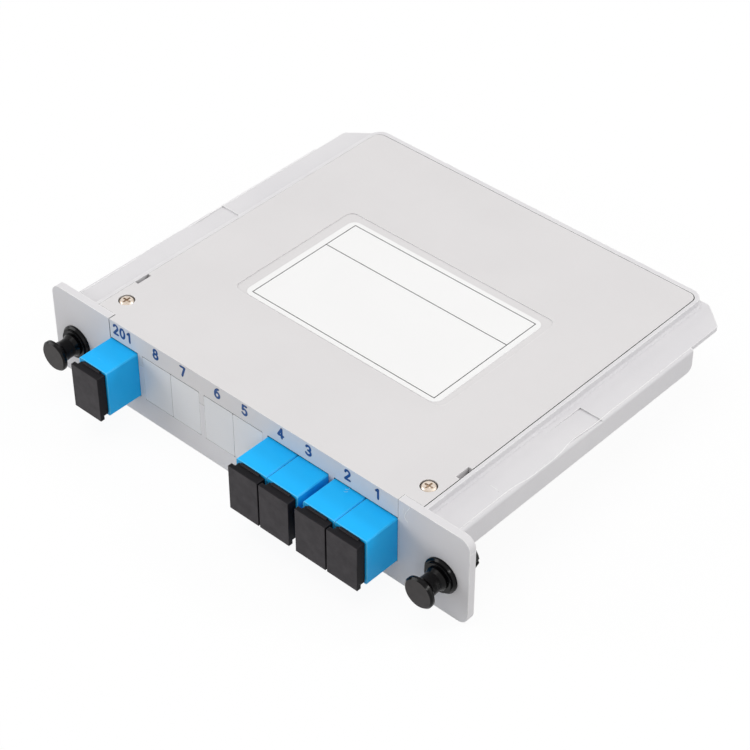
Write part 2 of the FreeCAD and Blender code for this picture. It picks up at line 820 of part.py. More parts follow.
def boot_block(x_ends):
    """A block that fits inside the end of the splitter's case."""
    return block(x_ends, around(module_y, module_width - 2 * module_boot_margin),
                 around(module_z, module_height - 2 * module_boot_margin))


def splitter_boot(seat, mouth, fibre_ys):
    """A rubber boot in one end of the splitter's case, with a square hole for each fibre."""
    boot = boot_block((seat, mouth))
    for y in fibre_ys:
        width = 2 * (fibre_radius + fibre_bore_gap)
        boot = boot.cut(block((seat, mouth), around(y, width), around(module_z, width)))
    return boot


def fibre_stations(points, radii):
    """Places and directions along a route: its ends and short steps round the arc at each corner."""
    stations = [(points[0], (points[1] - points[0]).normalize())]
    for index, radius in enumerate(radii):
        corner = points[index + 1]
        arrive = (corner - points[index]).normalize()
        leave = (points[index + 2] - corner).normalize()
        turn = arrive.getAngle(leave)
        start = corner - arrive * (radius * math.tan(turn / 2))
        inward = (leave - arrive * arrive.dot(leave)).normalize()
        steps = math.ceil(math.degrees(turn) / fibre_bend_step)
        for step in range(steps + 1):
            angle = turn * step / steps
            place = start + arrive * (radius * math.sin(angle)) + inward * (radius * (1 - math.cos(angle)))
            stations.append((place, arrive * math.cos(angle) + inward * math.sin(angle)))
    stations.append((points[-1], (points[-1] - points[-2]).normalize()))
    return stations


def fibre(points, radii):
    """A jacketed fibre: a six-sided section carried along its route."""
    rings = [ring(place, along, fibre_radius, few_sides) for place, along in fibre_stations(points, radii)]
    return Part.makeLoft(rings, True, True)


def input_fibre(x):
    """The input fibre: straight back, along the rear wall and round into the splitter's right end."""
    low = module_z
    row = room_rear_y - input_row_gap
    column = room_half - input_column_gap
    points = [
        FreeCAD.Vector(x, fibre_start_y, port_z),
        FreeCAD.Vector(x, fibre_start_y + drop_lead, port_z),
        FreeCAD.Vector(x, fibre_start_y + drop_lead + drop_length, low),
        FreeCAD.Vector(x, row, low),
        FreeCAD.Vector(column, row, low),
        FreeCAD.Vector(column, module_y, low),
        FreeCAD.Vector(module_right_x - module_boot_seat, module_y, low),
    ]
    return fibre(points, [bend_radius] * (len(points) - 2))


def output_places():
    """The Y of each output fibre in its boot. The port nearest the middle has the innermost bend."""
    middle = (len(output_ports) - 1) / 2
    return {name: module_y + (middle - order) * fibre_pitch for order, name in enumerate(output_ports)}


def output_fibre(name, x):
    """An output fibre: out of the splitter's left end, round, along the rear and forward to its port."""
    exit_y = output_places()[name]
    order = output_ports.index(name)
    last = len(output_ports) - 1
    column = output_column_gap - room_half + (last - order) * fibre_pitch
    row = room_rear_y - output_row_gap + (order - last / 2) * fibre_pitch
    rise_x = output_column_gap - room_half + last * fibre_pitch + rise_lead
    low = module_z
    points = [
        FreeCAD.Vector(module_left_x + module_boot_seat, exit_y, low),
        FreeCAD.Vector(column, exit_y, low),
        FreeCAD.Vector(column, row, low),
        FreeCAD.Vector(rise_x, row, low),
        FreeCAD.Vector(rise_x + rise_length, row, port_z),
        FreeCAD.Vector(x, row, port_z),
        FreeCAD.Vector(x, fibre_start_y, port_z),
    ]
    return fibre(points, [bend_radius] * (len(points) - 2))


def fixed_parts():
    """The housing and what there is only one or two of."""
    boot_reach = module_boot_length
    left_seat = module_left_x + module_boot_seat
    right_seat = module_right_x - module_boot_seat
    return {
        "base_housing": base_housing(),
        "lid": lid(),
        "lid_label": lid_label(),
        "lid_screws": Part.makeCompound([lid_screw(-screw_x), lid_screw(screw_x)]),
        "splitter_module": splitter_module(),
        "splitter_boot_in": splitter_boot(right_seat, module_right_x + boot_reach, [module_y]),
        "splitter_boot_out": splitter_boot(left_seat, module_left_x - boot_reach, output_places().values()),
        "latch_grommet_left": latch_grommet(-latch_x),
        "latch_grommet_right": latch_grommet(latch_x),
        "latch_plunger_left": latch_plunger(-latch_x),
        "latch_plunger_right": latch_plunger(latch_x),
    }


def port_parts():
    """What each port holds, from its cap to its fibre."""
    parts = {}
    for name, x in port_places().items():
        if name in blank_ports:
            parts["blank_plug_" + name] = blank_plug(x)
            continue
        parts["adapter_body_" + name] = adapter_body(x)
        parts["adapter_insert_" + name] = adapter_insert(x)
        parts["alignment_sleeve_" + name] = alignment_sleeve(x)
        parts["dust_cap_" + name] = dust_cap(x)
        parts["connector_shell_" + name] = connector_shell(x)
        parts["connector_frame_" + name] = connector_frame(x)
        parts["ferrule_" + name] = ferrule(x)
        parts["connector_boot_" + name] = connector_boot(x)
        parts["fibre_" + name] = input_fibre(x) if name == "in" else output_fibre(name, x)
    return parts


os.makedirs("parts", exist_ok=True)
for node, shape in {**fixed_parts(), **port_parts()}.items():
    shape.exportStep("parts/" + node + ".step")
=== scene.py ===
import math
import bpy
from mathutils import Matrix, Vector


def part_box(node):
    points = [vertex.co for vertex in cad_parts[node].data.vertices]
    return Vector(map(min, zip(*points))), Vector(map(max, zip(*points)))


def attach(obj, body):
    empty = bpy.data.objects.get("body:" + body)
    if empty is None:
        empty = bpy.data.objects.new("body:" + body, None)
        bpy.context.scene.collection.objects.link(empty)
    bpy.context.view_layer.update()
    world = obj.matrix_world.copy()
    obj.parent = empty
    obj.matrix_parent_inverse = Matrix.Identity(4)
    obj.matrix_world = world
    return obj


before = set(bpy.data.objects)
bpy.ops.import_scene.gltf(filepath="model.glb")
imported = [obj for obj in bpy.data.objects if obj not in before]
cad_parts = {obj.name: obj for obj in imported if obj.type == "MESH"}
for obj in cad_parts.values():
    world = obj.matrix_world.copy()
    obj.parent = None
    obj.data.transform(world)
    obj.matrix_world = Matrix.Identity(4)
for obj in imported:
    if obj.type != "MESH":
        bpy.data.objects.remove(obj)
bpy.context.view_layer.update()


# The housing: one injection moulding in light grey ABS, with the panel, the box and both side rails in
# one piece. The mould's spark-eroded walls leave a fine even grain, and every edge has a small radius.
mm = 0.001
scene = bpy.context.scene


def new_group(name, inputs, outputs):
    """An empty shader group with named sockets."""
    group = bpy.data.node_groups.new(name, "ShaderNodeTree")
    for label, value in inputs:
        socket = group.interface.new_socket(name=label, in_out="INPUT", socket_type="NodeSocketFloat")
        socket.default_value = value
    for label in outputs:
        group.interface.new_socket(name=label, in_out="OUTPUT", socket_type="NodeSocketFloat")
    start = group.nodes.new("NodeGroupInput")
    end = group.nodes.new("NodeGroupOutput")
    return group, start, end


def noise_at(tree, place, scale, detail):
    """A noise texture, with its scale in waves to a metre."""
    noise = tree.nodes.new("ShaderNodeTexNoise")
    noise.inputs["Scale"].default_value = scale
    noise.inputs["Detail"].default_value = detail
    tree.links.new(place, noise.inputs["Vector"])
    return noise.outputs["Fac"]


def between(tree, value, low, high):
    """A value spread from 0 at low to 1 at high."""
    spread = tree.nodes.new("ShaderNodeMapRange")
    spread.inputs["From Min"].default_value = low
    spread.inputs["From Max"].default_value = high
    tree.links.new(value, spread.inputs["Value"])
    return spread.outputs["Result"]


def worked(tree, operation, *values):
    """Arithmetic on values, each a socket or a number."""
    step = tree.nodes.new("ShaderNodeMath")
    step.operation = operation
    for socket, value in zip(step.inputs, values):
        if isinstance(value, float):
            socket.default_value = value
        else:
            tree.links.new(value, socket)
    return step.outputs["Value"]


def give_mask(group, mask, start, end):
    """Puts a mask out of a group, scaled by the group's Amount."""
    group.links.new(worked(group, "MULTIPLY", mask, start.outputs["Amount"]), end.inputs["Mask"])


def mould_grain_group():
    """Fine spark-eroded grain, with slow cloudy changes of shade and rare dark specks."""
    group, start, end = new_group("mould grain", [("Grain", 1800.0), ("Clouds", 40.0), ("Specks", 0.5)],
                                  ["Height", "Clouds", "Specks"])
    place = group.nodes.new("ShaderNodeTexCoord").outputs["Object"]
    fine = group.nodes.new("ShaderNodeTexNoise")
    fine.inputs["Detail"].default_value = 3.0
    group.links.new(place, fine.inputs["Vector"])
    group.links.new(start.outputs["Grain"], fine.inputs["Scale"])
    group.links.new(fine.outputs["Fac"], end.inputs["Height"])
    cloud = group.nodes.new("ShaderNodeTexNoise")
    cloud.inputs["Detail"].default_value = 4.0
    group.links.new(place, cloud.inputs["Vector"])
    group.links.new(start.outputs["Clouds"], cloud.inputs["Scale"])
    group.links.new(between(group, cloud.outputs["Fac"], low=0.35, high=0.65), end.inputs["Clouds"])
    cells = group.nodes.new("ShaderNodeTexVoronoi")
    cells.inputs["Scale"].default_value = 110.0
    group.links.new(place, cells.inputs["Vector"])
    near = between(group, cells.outputs["Distance"], low=0.045, high=0.03)
    speckled_level = 0.6
    chosen = worked(group, "GREATER_THAN", noise_at(group, place, scale=37.0, detail=1.0), speckled_level)
    speck = worked(group, "MULTIPLY", near, chosen)
    group.links.new(worked(group, "MULTIPLY", speck, start.outputs["Specks"]), end.inputs["Specks"])
    return group


def scuff_group():
    """Short hairline scuffs in changing directions, where the part has been handled."""
    group, start, end = new_group("handling scuffs", [("Amount", 0.5)], ["Mask"])
    place = group.nodes.new("ShaderNodeTexCoord").outputs["Object"]
    turned = group.nodes.new("ShaderNodeMapping")
    turned.inputs["Rotation"].default_value = (0.5, 0.3, 0.7)
    turned.inputs["Scale"].default_value = (1.0, 14.0, 14.0)
    group.links.new(place, turned.inputs["Vector"])
    waves = noise_at(group, turned.outputs["Vector"], scale=90.0, detail=2.0)
    noise_middle = 0.5
    off_line = worked(group, "ABSOLUTE", worked(group, "SUBTRACT", waves, noise_middle))
    thin = between(group, off_line, low=0.006, high=0.0)
    zones = between(group, noise_at(group, place, scale=55.0, detail=1.0), low=0.58, high=0.68)
    give_mask(group, worked(group, "MULTIPLY", thin, zones), start, end)
    return group


def painted_edge_highlight_group():
    """A mask along outer edges, for a painted highlight where an edge catches the light."""
    group, start, end = new_group("painted edge highlights", [("Width", 0.3 * mm), ("Amount", 0.5)], ["Mask"])
    inside = group.nodes.new("ShaderNodeAmbientOcclusion")
    inside.inside = True
    inside.only_local = True
    inside.samples = 4
    group.links.new(start.outputs["Width"], inside.inputs["Distance"])
    thin = between(group, inside.outputs["AO"], low=0.92, high=0.55)
    place = group.nodes.new("ShaderNodeTexCoord").outputs["Object"]
    broken = between(group, noise_at(group, place, scale=260.0, detail=2.0), low=0.25, high=0.5)
    give_mask(group, worked(group, "MULTIPLY", thin, broken), start, end)
    return group


def front_dust_and_light_group():
    """A cloudy pale film on the faces that look to the front: partly dust, which reaches them first, and
    partly painted light on these lit faces.
    """
    group, start, end = new_group("dusty fronts and painted light", [("Amount", 0.0)], ["Mask"])
    normal = group.nodes.new("ShaderNodeNewGeometry").outputs["Normal"]
    facing = group.nodes.new("ShaderNodeVectorMath")
    facing.operation = "DOT_PRODUCT"
    facing.inputs[1].default_value = (0.0, -1.0, 0.0)
    group.links.new(normal, facing.inputs[0])
    front = between(group, facing.outputs["Value"], low=0.75, high=0.98)
    place = group.nodes.new("ShaderNodeTexCoord").outputs["Object"]
    cloudy = between(group, noise_at(group, place, scale=420.0, detail=3.0), low=-0.5, high=0.7)
    give_mask(group, worked(group, "MULTIPLY", front, cloudy), start, end)
    return group


def painted_seam_shade_group():
    """A mask deep in narrow gaps between parts, for painted shade there, with a little of the dust that
    collects in them.
    """
    group, start, end = new_group("painted seam shade", [("Width", 1.4 * mm), ("Amount", 0.5)], ["Mask"])
    closed_in = group.nodes.new("ShaderNodeAmbientOcclusion")
    closed_in.samples = 6
    group.links.new(start.outputs["Width"], closed_in.inputs["Distance"])
    give_mask(group, between(group, closed_in.outputs["AO"], low=0.42, high=0.22), start, end)
    return group


mould_grain = mould_grain_group()
handling_scuffs = scuff_group()
painted_edge_highlights = painted_edge_highlight_group()
painted_seam_shade = painted_seam_shade_group()
front_dust_and_light = front_dust_and_light_group()


def place_group(tree, group, **values):
    """A shader group set into a material with its own values."""
    node = tree.nodes.new("ShaderNodeGroup")
    node.node_tree = group
    for label, value in values.items():
        node.inputs[label].default_value = value
    return node


def mixed_colour(tree, mask, first, second):
    """A colour that goes from first to second with a mask. Each is a colour or a socket."""
    mix = tree.nodes.new("ShaderNodeMix")
    mix.data_type = "RGBA"
    tree.links.new(mask, mix.inputs["Factor"])
    for label, colour in (("A", first), ("B", second)):
        socket = [s for s in mix.inputs if s.name == label and s.type == "RGBA"][0]
        if isinstance(colour, tuple):
            socket.default_value = (*colour, 1.0)
        else:
            tree.links.new(colour, socket)
    return [s for s in mix.outputs if s.type == "RGBA"][0]


def moulded_plastic(name, colour, shade, roughness, grain, depth, edge, specks=0.0, scuffs=0.0, gloss=0.5,
                    wear_and_edge_highlight=0.0, pale=None, dust_and_light=0.0, seam_shading=0.0):
    """A moulded plastic: grain in relief, clouds of shade, specks and scuffs, dust with painted light on
    front faces, painted shade in narrow gaps and painted highlights on edges.
    """
    speck_share = 0.45
    seam_shade_share = 0.08
    pale_share = 1.15
    pale_lift = 0.03
    cloud_roughness = 0.06
    scuff_roughness = 0.12
    material = bpy.data.materials.new(name)
    material.use_nodes = True
    tree = material.node_tree
    surface = tree.nodes["Principled BSDF"]
    skin = place_group(tree, mould_grain, Grain=grain, Specks=specks)
    marks = place_group(tree, handling_scuffs, Amount=scuffs)
    if pale is None:
        pale = tuple(min(1.0, part * pale_share + pale_lift) for part in colour)
    base = mixed_colour(tree, skin.outputs["Clouds"], colour, shade)
    base = mixed_colour(tree, skin.outputs["Specks"], base, tuple(part * speck_share for part in shade))
    base = mixed_colour(tree, marks.outputs["Mask"], base, pale)
    # Painted highlight: lightens the colour along outer edges.
    if wear_and_edge_highlight:
        edge_highlight_node = place_group(tree, painted_edge_highlights, Amount=wear_and_edge_highlight)
        base = mixed_colour(tree, edge_highlight_node.outputs["Mask"], base, pale)
    # Dust and painted light: lightens the faces that look to the front.
    if dust_and_light:
        dust_and_light_film = place_group(tree, front_dust_and_light, Amount=dust_and_light)
        base = mixed_colour(tree, dust_and_light_film.outputs["Mask"], base, pale)
    # Painted shade: darkens the colour deep in narrow gaps between parts.
    if seam_shading:
        seam_shade_node = place_group(tree, painted_seam_shade, Amount=seam_shading)
        base = mixed_colour(tree, seam_shade_node.outputs["Mask"], base, tuple(part * seam_shade_share for part in shade))
    tree.links.new(base, surface.inputs["Base Color"])
    clouded = worked(tree, "MULTIPLY_ADD", skin.outputs["Clouds"], cloud_roughness, roughness)
    scuffed = worked(tree, "MULTIPLY", marks.outputs["Mask"], scuff_roughness)
    tree.links.new(worked(tree, "ADD", clouded, scuffed), surface.inputs["Roughness"])
    surface.inputs["Specular IOR Level"].default_value = gloss
    soft = tree.nodes.new("ShaderNodeBevel")
    soft.samples = 4
    soft.inputs["Radius"].default_value = edge
    relief = tree.nodes.new("ShaderNodeBump")
    relief.inputs["Strength"].default_value = 0.6
    relief.inputs["Distance"].default_value = depth
    tree.links.new(skin.outputs["Height"], relief.inputs["Height"])
    tree.links.new(soft.outputs["Normal"], relief.inputs["Normal"])
    tree.links.new(relief.outputs["Normal"], surface.inputs["Normal"])
    return material


def coat(material, *names):
    """Puts a material on CAD nodes by name."""
    for name in names:
        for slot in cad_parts[name].material_slots:
            slot.material = material


housing_plastic = moulded_plastic("housing plastic", colour=(0.735, 0.725, 0.74), shade=(0.705, 0.695, 0.715),
                                  roughness=0.5, grain=1500.0, depth=0.02 * mm, edge=0.15 * mm, specks=0.35,
                                  scuffs=0.35, wear_and_edge_highlight=0.9, pale=(0.93, 0.93, 0.93), seam_shading=0.9)
coat(housing_plastic, "base_housing")


def bead(name, points, radius, material):
    """A thin raised line on a moulding, through points in millimetres."""
    line = bpy.data.curves.new(name, "CURVE")
    line.dimensions = "3D"
    line.bevel_depth = radius
    line.bevel_resolution = 1
    spline = line.splines.new("NURBS")
    spline.points.add(len(points) - 1)
    for point, place in zip(spline.points, points):
        point.co = (*[value * mm for value in place], 1.0)
    spline.order_u = 3
    spline.use_endpoint_u = True
    line.materials.append(material)
    piece = bpy.data.objects.new(name, line)
    scene.collection.objects.link(piece)
    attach(piece, "cassette")


# Near-white plastic for flash, parting lines and whitened scratches; along the rails' edges it is also a
# painted highlight.
pale_flash_and_highlight = moulded_plastic("pale flash and painted highlight", colour=(0.95, 0.95, 0.95), shade=(0.90, 0.90, 0.90),
                                roughness=0.4, grain=1500.0, depth=0.01 * mm, edge=0.02 * mm)
ledge_drop = 2.0
rail_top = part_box("base_housing")[1].z / mm - ledge_drop
rail_edge_x = 59.2
rail_edge_radius = 0.8
# The flash wanders along a rail's rounded edge, and its near-white colour there is also a painted highlight
# along that edge.
flash_drifts = [(1.2, -0.1), (8, -0.15), (14, -0.2), (20, -0.15), (24, 0.5), (28, 0.55), (32, 0.6), (36, 0.4),
                (39, -0.25), (43, -0.1), (48, 0.2), (54, -0.1), (62, 0.1), (70, 0.0), (83.2, 0.0)]
for side, name in ((-1, "left"), (1, "right")):
    line = []
    for y, drift in flash_drifts:
        sunk = rail_edge_radius - math.sqrt(rail_edge_radius ** 2 - max(drift, 0.0) ** 2)
        line.append((side * (rail_edge_x + drift), y, rail_top - sunk))
    bead("rail_flash_and_highlight_" + name, line, radius=0.1 * mm, material=pale_flash_and_highlight)
panel_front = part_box("base_housing")[0].y / mm
panel_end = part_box("base_housing")[1].x / mm
panel_thickness = 2.0
panel_rear = panel_front + panel_thickness
parting_height = 21.0
parting_slope = 0.1
parting_line = [(panel_end, panel_front, parting_height + parting_slope), (panel_end, 0.0, parting_height),
                (panel_end, panel_rear, parting_height - parting_slope)]
bead("ear_parting_line", parting_line, radius=0.05 * mm, material=pale_flash_and_highlight)
long_scratch = [(48.4, 24.2), (47.3, 22.1), (46.8, 20.6), (47.1, 20.0), (47.9, 19.4)]
short_scratch = [(46.6, 22.9), (46.4, 21.9), (46.5, 21.2)]
for name, scratch, radius in (("ear_scratch_long", long_scratch, 0.07 * mm),
                              ("ear_scratch_short", short_scratch, 0.045 * mm)):
    bead(name, [(x, panel_front, z) for x, z in scratch], radius, pale_flash_and_highlight)
ledge_scratch = [(55.1, 17.0), (56.2, 17.1), (57.6, 16.9)]
bead("ledge_scratch", [(x, y, rail_top) for x, y in ledge_scratch], radius=0.08 * mm, material=pale_flash_and_highlight)


# The lid: a flat moulding in the same light grey ABS, a shade warmer than the housing because it comes
# from another mould. It hooks under the rear wall and is screwed down at its two front corners.
lid_plastic = moulded_plastic("lid plastic", colour=(0.72, 0.705, 0.71), shade=(0.70, 0.685, 0.69),
                              roughness=0.52, grain=1500.0, depth=0.02 * mm, edge=0.12 * mm, specks=0.5,
                              scuffs=0.15, wear_and_edge_highlight=0.5, pale=(0.90, 0.90, 0.90), seam_shading=0.9)
coat(lid_plastic, "lid")


# The port numerals: pad-printed in one pass of navy ink on the lid's front skirt. The digits have one
# line width and round ends, and stand a hair above the plastic.
numeral_height = 2.75 * mm
numeral_width = 0.92 * numeral_height
numeral_line = 0.64 * mm
numeral_bottom = 20.85 * mm
numeral_advance = 0.82 * numeral_height
digit_middle = 0.3
ink_lift = 0.012 * mm
ink_step = 0.0004 * mm
bow_degrees = 15
fewest_bow_steps = 6
round_end = (-60, -30, 0, 30, 60)
sharp_turn = math.radians(40)
touching = 0.0001 * mm


def bow(middle_x, middle_z, half_width, half_height, start, end):
    """Points along part of an ellipse, from one angle in degrees to another."""
    count = max(fewest_bow_steps, int(abs(end - start) / bow_degrees))
    points = []
    for step in range(count + 1):
        angle = math.radians(start + (end - start) * step / count)
        points.append((middle_x + half_width * math.cos(angle), middle_z + half_height * math.sin(angle)))
    return points


# Each digit is drawn in strokes, in a box 0.6 wide and 1 high.
digit_strokes = {
    "0": [bow(0.3, 0.5, 0.27, 0.47, 0, 360)],
    "1": [[(0.12, 0.78), (0.36, 0.97), (0.36, 0.03)]],
    "2": [bow(0.3, 0.70, 0.26, 0.27, 165, -25) + [(0.04, 0.03), (0.58, 0.03)]],
    "3": [bow(0.28, 0.735, 0.25, 0.235, 155, -90), bow(0.28, 0.27, 0.29, 0.24, 90, -155)],
    "4": [[(0.44, 0.03), (0.44, 0.97), (0.02, 0.27), (0.62, 0.27)]],
    "5": [[(0.54, 0.97), (0.12, 0.97), (0.08, 0.53)] + bow(0.28, 0.32, 0.28, 0.29, 125, -150)],
    "6": [bow(0.56, 0.36, 0.53, 0.61, 100, 175), bow(0.3, 0.31, 0.27, 0.28, 0, 360)],
    "7": [[(0.03, 0.97), (0.57, 0.97), (0.22, 0.03)]],
    "8": [bow(0.3, 0.745, 0.21, 0.225, -90, 270), bow(0.3, 0.28, 0.27, 0.25, 90, 450)],
}


def heading(start, end):
    """The direction from one flat point to another."""
    return math.atan2(end[1] - start[1], end[0] - start[0])


def stroke_runs(points):
    """Splits a line where it turns sharply, so that each run bends smoothly."""
    runs = [[points[0]]]
    for before, here, after in zip(points, points[1:], points[2:]):
        runs[-1].append(here)
        turned = math.remainder(heading(here, after) - heading(before, here), math.tau)
        if abs(turned) > sharp_turn:
            runs.append([here])
    runs[-1].append(points[-1])
    return runs


def ribbon(points, width, vertices, faces):
    """Adds one smooth flat line to a mesh, with half-round ends unless it closes on itself.

    Each line lies a little above the one before it, so that where they cross, no faces share a plane."""
    closed = math.dist(points[0], points[-1]) < touching
    lift = ink_step * len(faces)
    first = len(vertices)
    last = len(points) - 1
    for index, (x, z) in enumerate(points):
        x0, z0 = points[last - 1 if closed and index == 0 else max(index - 1, 0)]
        x1, z1 = points[1 if closed and index == last else min(index + 1, last)]
        length = math.hypot(x1 - x0, z1 - z0)
        side_x = (z0 - z1) / length * width / 2
        side_z = (x1 - x0) / length * width / 2
        vertices += [(x + side_x, z + side_z, lift), (x - side_x, z - side_z, lift)]
        if index:
            corner = first + 2 * index
            faces.append([corner - 2, corner, corner + 1, corner - 1])
    if closed:
        return
    for end, inner in ((0, 1), (last, last - 1)):
        x, z = points[end]
        away = heading(points[inner], points[end])
        arc = len(vertices)
        for degrees in round_end:
            angle = away + math.radians(degrees)
            vertices.append((x + width / 2 * math.cos(angle), z + width / 2 * math.sin(angle), lift))
        rim = range(arc, len(vertices))
        left = first + 2 * end
        right = left + 1
        faces.append([left, *rim, right] if end else [right, *rim, left])


def printed(name, lines, width, place, material):
    """A thin layer of ink. place turns flat points and their lift into points of the row frame."""
    vertices = []
    faces = []
    for points in lines:
        for run in stroke_runs(points):
            ribbon(run, width, vertices, faces)
    mesh = bpy.data.meshes.new(name)
    mesh.from_pydata([place(*vertex) for vertex in vertices], [], faces)
    mesh.materials.append(material)
    ink = bpy.data.objects.new(name, mesh)
    scene.collection.objects.link(ink)
    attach(ink, "cassette")


def printing_ink(name, colour, wear_and_edge_highlight):
    """Matt ink that lets a little of the grain below show."""
    material = bpy.data.materials.new(name)
    material.use_nodes = True
    tree = material.node_tree
    surface = tree.nodes["Principled BSDF"]
    skin = place_group(tree, mould_grain, Grain=2600.0, Clouds=900.0)
    tree.links.new(mixed_colour(tree, skin.outputs["Clouds"], colour, wear_and_edge_highlight), surface.inputs["Base Color"])
    surface.inputs["Roughness"].default_value = 0.6
    return material


skirt_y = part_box("lid")[0].y - ink_lift


def on_skirt(x, z, lift):
    """A place on the lid's front skirt, as high above the plastic as the ink."""
    return x, skirt_y - lift, z


navy_ink = printing_ink("navy ink", colour=(0.002, 0.050, 0.20), wear_and_edge_highlight=(0.006, 0.068, 0.25))
numeral_middles = [("201", -40.55), ("8", -29.45), ("7", -20.5), ("6", -9.4), ("5", -0.75), ("4", 10.4),
                   ("3", 18.85), ("2", 30.4), ("1", 39.15)]
for text, middle in numeral_middles:
    left = middle * mm - numeral_advance * (len(text) - 1) / 2 - digit_middle * numeral_width
    lines = []
    for index, digit in enumerate(text):
        for stroke in digit_strokes[digit]:
            lines.append([(left + index * numeral_advance + x * numeral_width,
                           numeral_bottom + z * numeral_height) for x, z in stroke])
    printed("numeral_" + text, lines, numeral_line, on_skirt, navy_ink)


# The label: coated white paper stuck in the lid's shallow recess, with a thin printed frame in black and
# one rule across it. The paper is blank, for its owner to write on.
paper = moulded_plastic("label paper", colour=(0.90, 0.90, 0.90), shade=(0.885, 0.885, 0.885), roughness=0.42,
                        grain=4000.0, depth=0.004 * mm, edge=0.02 * mm)
coat(paper, "lid_label")
label_ink = printing_ink("label ink", colour=(0.02, 0.02, 0.02), wear_and_edge_highlight=(0.05, 0.05, 0.05))
label_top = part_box("lid_label")[1].z + ink_lift
frame_left = -27.65 * mm
frame_right = 28.95 * mm
frame_front = 28.7 * mm
frame_rear = 64.1 * mm
frame_line = 0.22 * mm
rule_y = 53.75 * mm
frame_corners = [(frame_left, frame_front), (frame_right, frame_front), (frame_right, frame_rear),
                 (frame_left, frame_rear), (frame_left, frame_front)]
rule = [(frame_left, rule_y), (frame_right, rule_y)]


def on_label(x, y, lift):
    """A place on the label, as high above the paper as the ink."""
    return x, y, label_top + lift


printed("label_frame", [frame_corners, rule], frame_line, on_label, label_ink)


# The lid screws: two small steel screws with low heads and a cross recess, nickel plated with a faint
# warm cast. They stand in counterbores a little wider than their heads.
def plated_metal(name, colour, stain, roughness):
    """Thin bright plating with stains and fine turning marks."""
    stain_roughness = 0.1
    material = bpy.data.materials.new(name)
    material.use_nodes = True
    tree = material.node_tree
    surface = tree.nodes["Principled BSDF"]
    surface.inputs["Metallic"].default_value = 1.0
    skin = place_group(tree, mould_grain, Grain=3000.0, Clouds=900.0)
    tree.links.new(mixed_colour(tree, skin.outputs["Clouds"], colour, stain), surface.inputs["Base Color"])
    tree.links.new(worked(tree, "MULTIPLY_ADD", skin.outputs["Clouds"], stain_roughness, roughness),
                   surface.inputs["Roughness"])
    relief = tree.nodes.new("ShaderNodeBump")
    relief.inputs["Distance"].default_value = 0.004 * mm
    tree.links.new(skin.outputs["Height"], relief.inputs["Height"])
    tree.links.new(relief.outputs["Normal"], surface.inputs["Normal"])
    return material


nickel = plated_metal("nickel plating", colour=(0.74, 0.66, 0.58), stain=(0.58, 0.49, 0.41), roughness=0.32)
coat(nickel, "lid_screws")


# The push latches: glossy black nylon in two pieces each. The grommet is snapped into the ear from the
# front, and the spool-shaped plunger is pushed through it, which spreads the legs behind.
latch_nylon = moulded_plastic("latch nylon", colour=(0.001, 0.001, 0.0015), shade=(0.002, 0.002, 0.0025),
                              roughness=0.14, grain=900.0, depth=0.002 * mm, edge=0.05 * mm, scuffs=0.2,
                              gloss=0.16)
knob_nylon = moulded_plastic("knob nylon", colour=(0.001, 0.001, 0.001), shade=(0.003, 0.0025, 0.003),
                             roughness=0.16, grain=1200.0, depth=0.002 * mm, edge=0.05 * mm, scuffs=0.3,
                             gloss=0.16, pale=(0.045, 0.040, 0.040), dust_and_light=0.9)
for side in ("left", "right"):
    coat(latch_nylon, "latch_grommet_" + side)
    coat(knob_nylon, "latch_plunger_" + side)


# The adapters: square shells moulded in bright blue plastic with a satin gloss. They drop into the row
# from above before the lid goes on, and a ridge above and below holds each one behind the panel.
adapter_blue = moulded_plastic("adapter blue", colour=(0.012, 0.49, 1.0), shade=(0.010, 0.46, 0.98),
                               roughness=0.34, grain=1400.0, depth=0.008 * mm, edge=0.10 * mm, scuffs=0.25,
                               gloss=0.15, wear_and_edge_highlight=0.9, pale=(0.16, 0.68, 1.0), seam_shading=0.9)
port_names = ["in", "1", "2", "3", "4"]
coat(adapter_blue, *["adapter_body_" + name for name in port_names])
scraped_blue = moulded_plastic("scraped blue", colour=(0.42, 0.66, 0.85), shade=(0.30, 0.58, 0.82),
                               roughness=0.5, grain=1400.0, depth=0.008 * mm, edge=0.02 * mm)
adapter_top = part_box("adapter_body_2")[1].z / mm
long_scrape = [(31.2, -2.5), (31.9, -2.3), (31.7, -1.7)]
short_scrape = [(31.5, -3.3), (31.9, -3.1), (32.1, -2.7)]
for name, scrape, radius in (("adapter_scrape_long", long_scrape, 0.05 * mm),
                             ("adapter_scrape_short", short_scrape, 0.04 * mm)):
    bead(name, [(x, y, adapter_top) for x, y in scrape], radius, scraped_blue)


# The dust caps: soft black plastic with a matt skin. Each is pushed into an adapter's mouth on a hollow
# plug, and its front plate stands out past the block behind it as a lip to pull.
cap_black = moulded_plastic("cap black", colour=(0.004, 0.004, 0.005), shade=(0.008, 0.007, 0.009),
                            roughness=0.5, grain=1100.0, depth=0.02 * mm, edge=0.25 * mm, scuffs=0.4,
                            gloss=0.1, wear_and_edge_highlight=0.3, pale=(0.068, 0.063, 0.068), dust_and_light=0.9)
coat(cap_black, *["dust_cap_" + name for name in port_names])


# The blank plugs: plain hollow boxes in the housing's grey, a little cooler, which close the unused
# ports flush with the panel and are held by the same ridges as the adapters.
blank_grey = moulded_plastic("blank grey", colour=(0.78, 0.785, 0.80), shade=(0.76, 0.765, 0.78),
                             roughness=0.42, grain=1500.0, depth=0.012 * mm, edge=0.12 * mm, specks=0.5,
                             scuffs=0.2, wear_and_edge_highlight=0.4, pale=(0.90, 0.90, 0.90), seam_shading=0.9)
coat(blank_grey, *["blank_plug_" + name for name in ("5", "6", "7", "8")])


